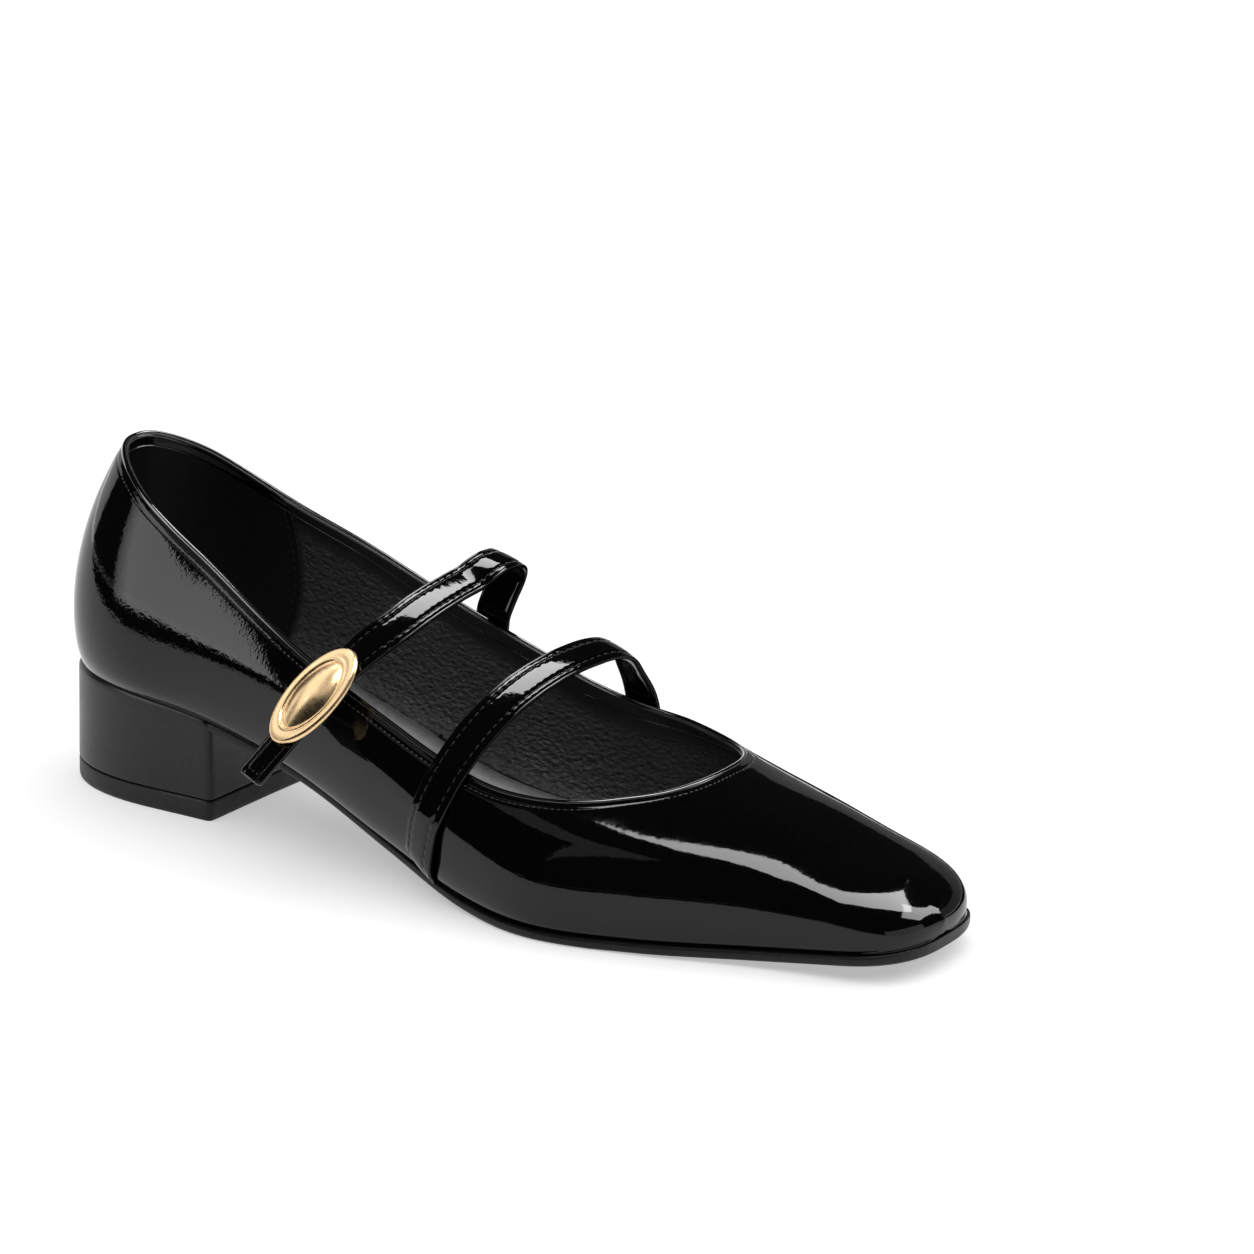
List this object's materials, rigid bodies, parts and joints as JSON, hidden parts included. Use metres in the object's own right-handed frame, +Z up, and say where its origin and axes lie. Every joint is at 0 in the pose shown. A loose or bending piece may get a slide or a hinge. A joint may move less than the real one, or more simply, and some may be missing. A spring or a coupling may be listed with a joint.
{
  "type": "mary jane pump",
  "caption": "Square-toed mary jane pump for the right foot, patent upper on a block heel, with instep straps and an oval buckle.",
  "frame": {"origin": "middle of the bounding box, at the height of the floor the shoe stands on", "axes": "+X from heel to toe, +Y to the medial (inner) side, +Z up"},
  "size_m": [0.2486, 0.0918, 0.0876],
  "materials": {
    "patent_leather": "high gloss black patent",
    "lining_leather": "satin black lining",
    "sole_rubber": "semi-matte black",
    "heel_cover": "semi-gloss black heel cover",
    "top_piece_rubber": "matte black",
    "buckle_metal": "polished light gold"
  },
  "bodies": {
    "root": {"upper": "patent_leather", "outsole": "sole_rubber", "insole": "lining_leather", "heel": "heel_cover", "heel_top_piece": "top_piece_rubber", "strap_front": "patent_leather", "strap_rear": "patent_leather", "buckle": "buckle_metal"}
  },
  "joints": []
}
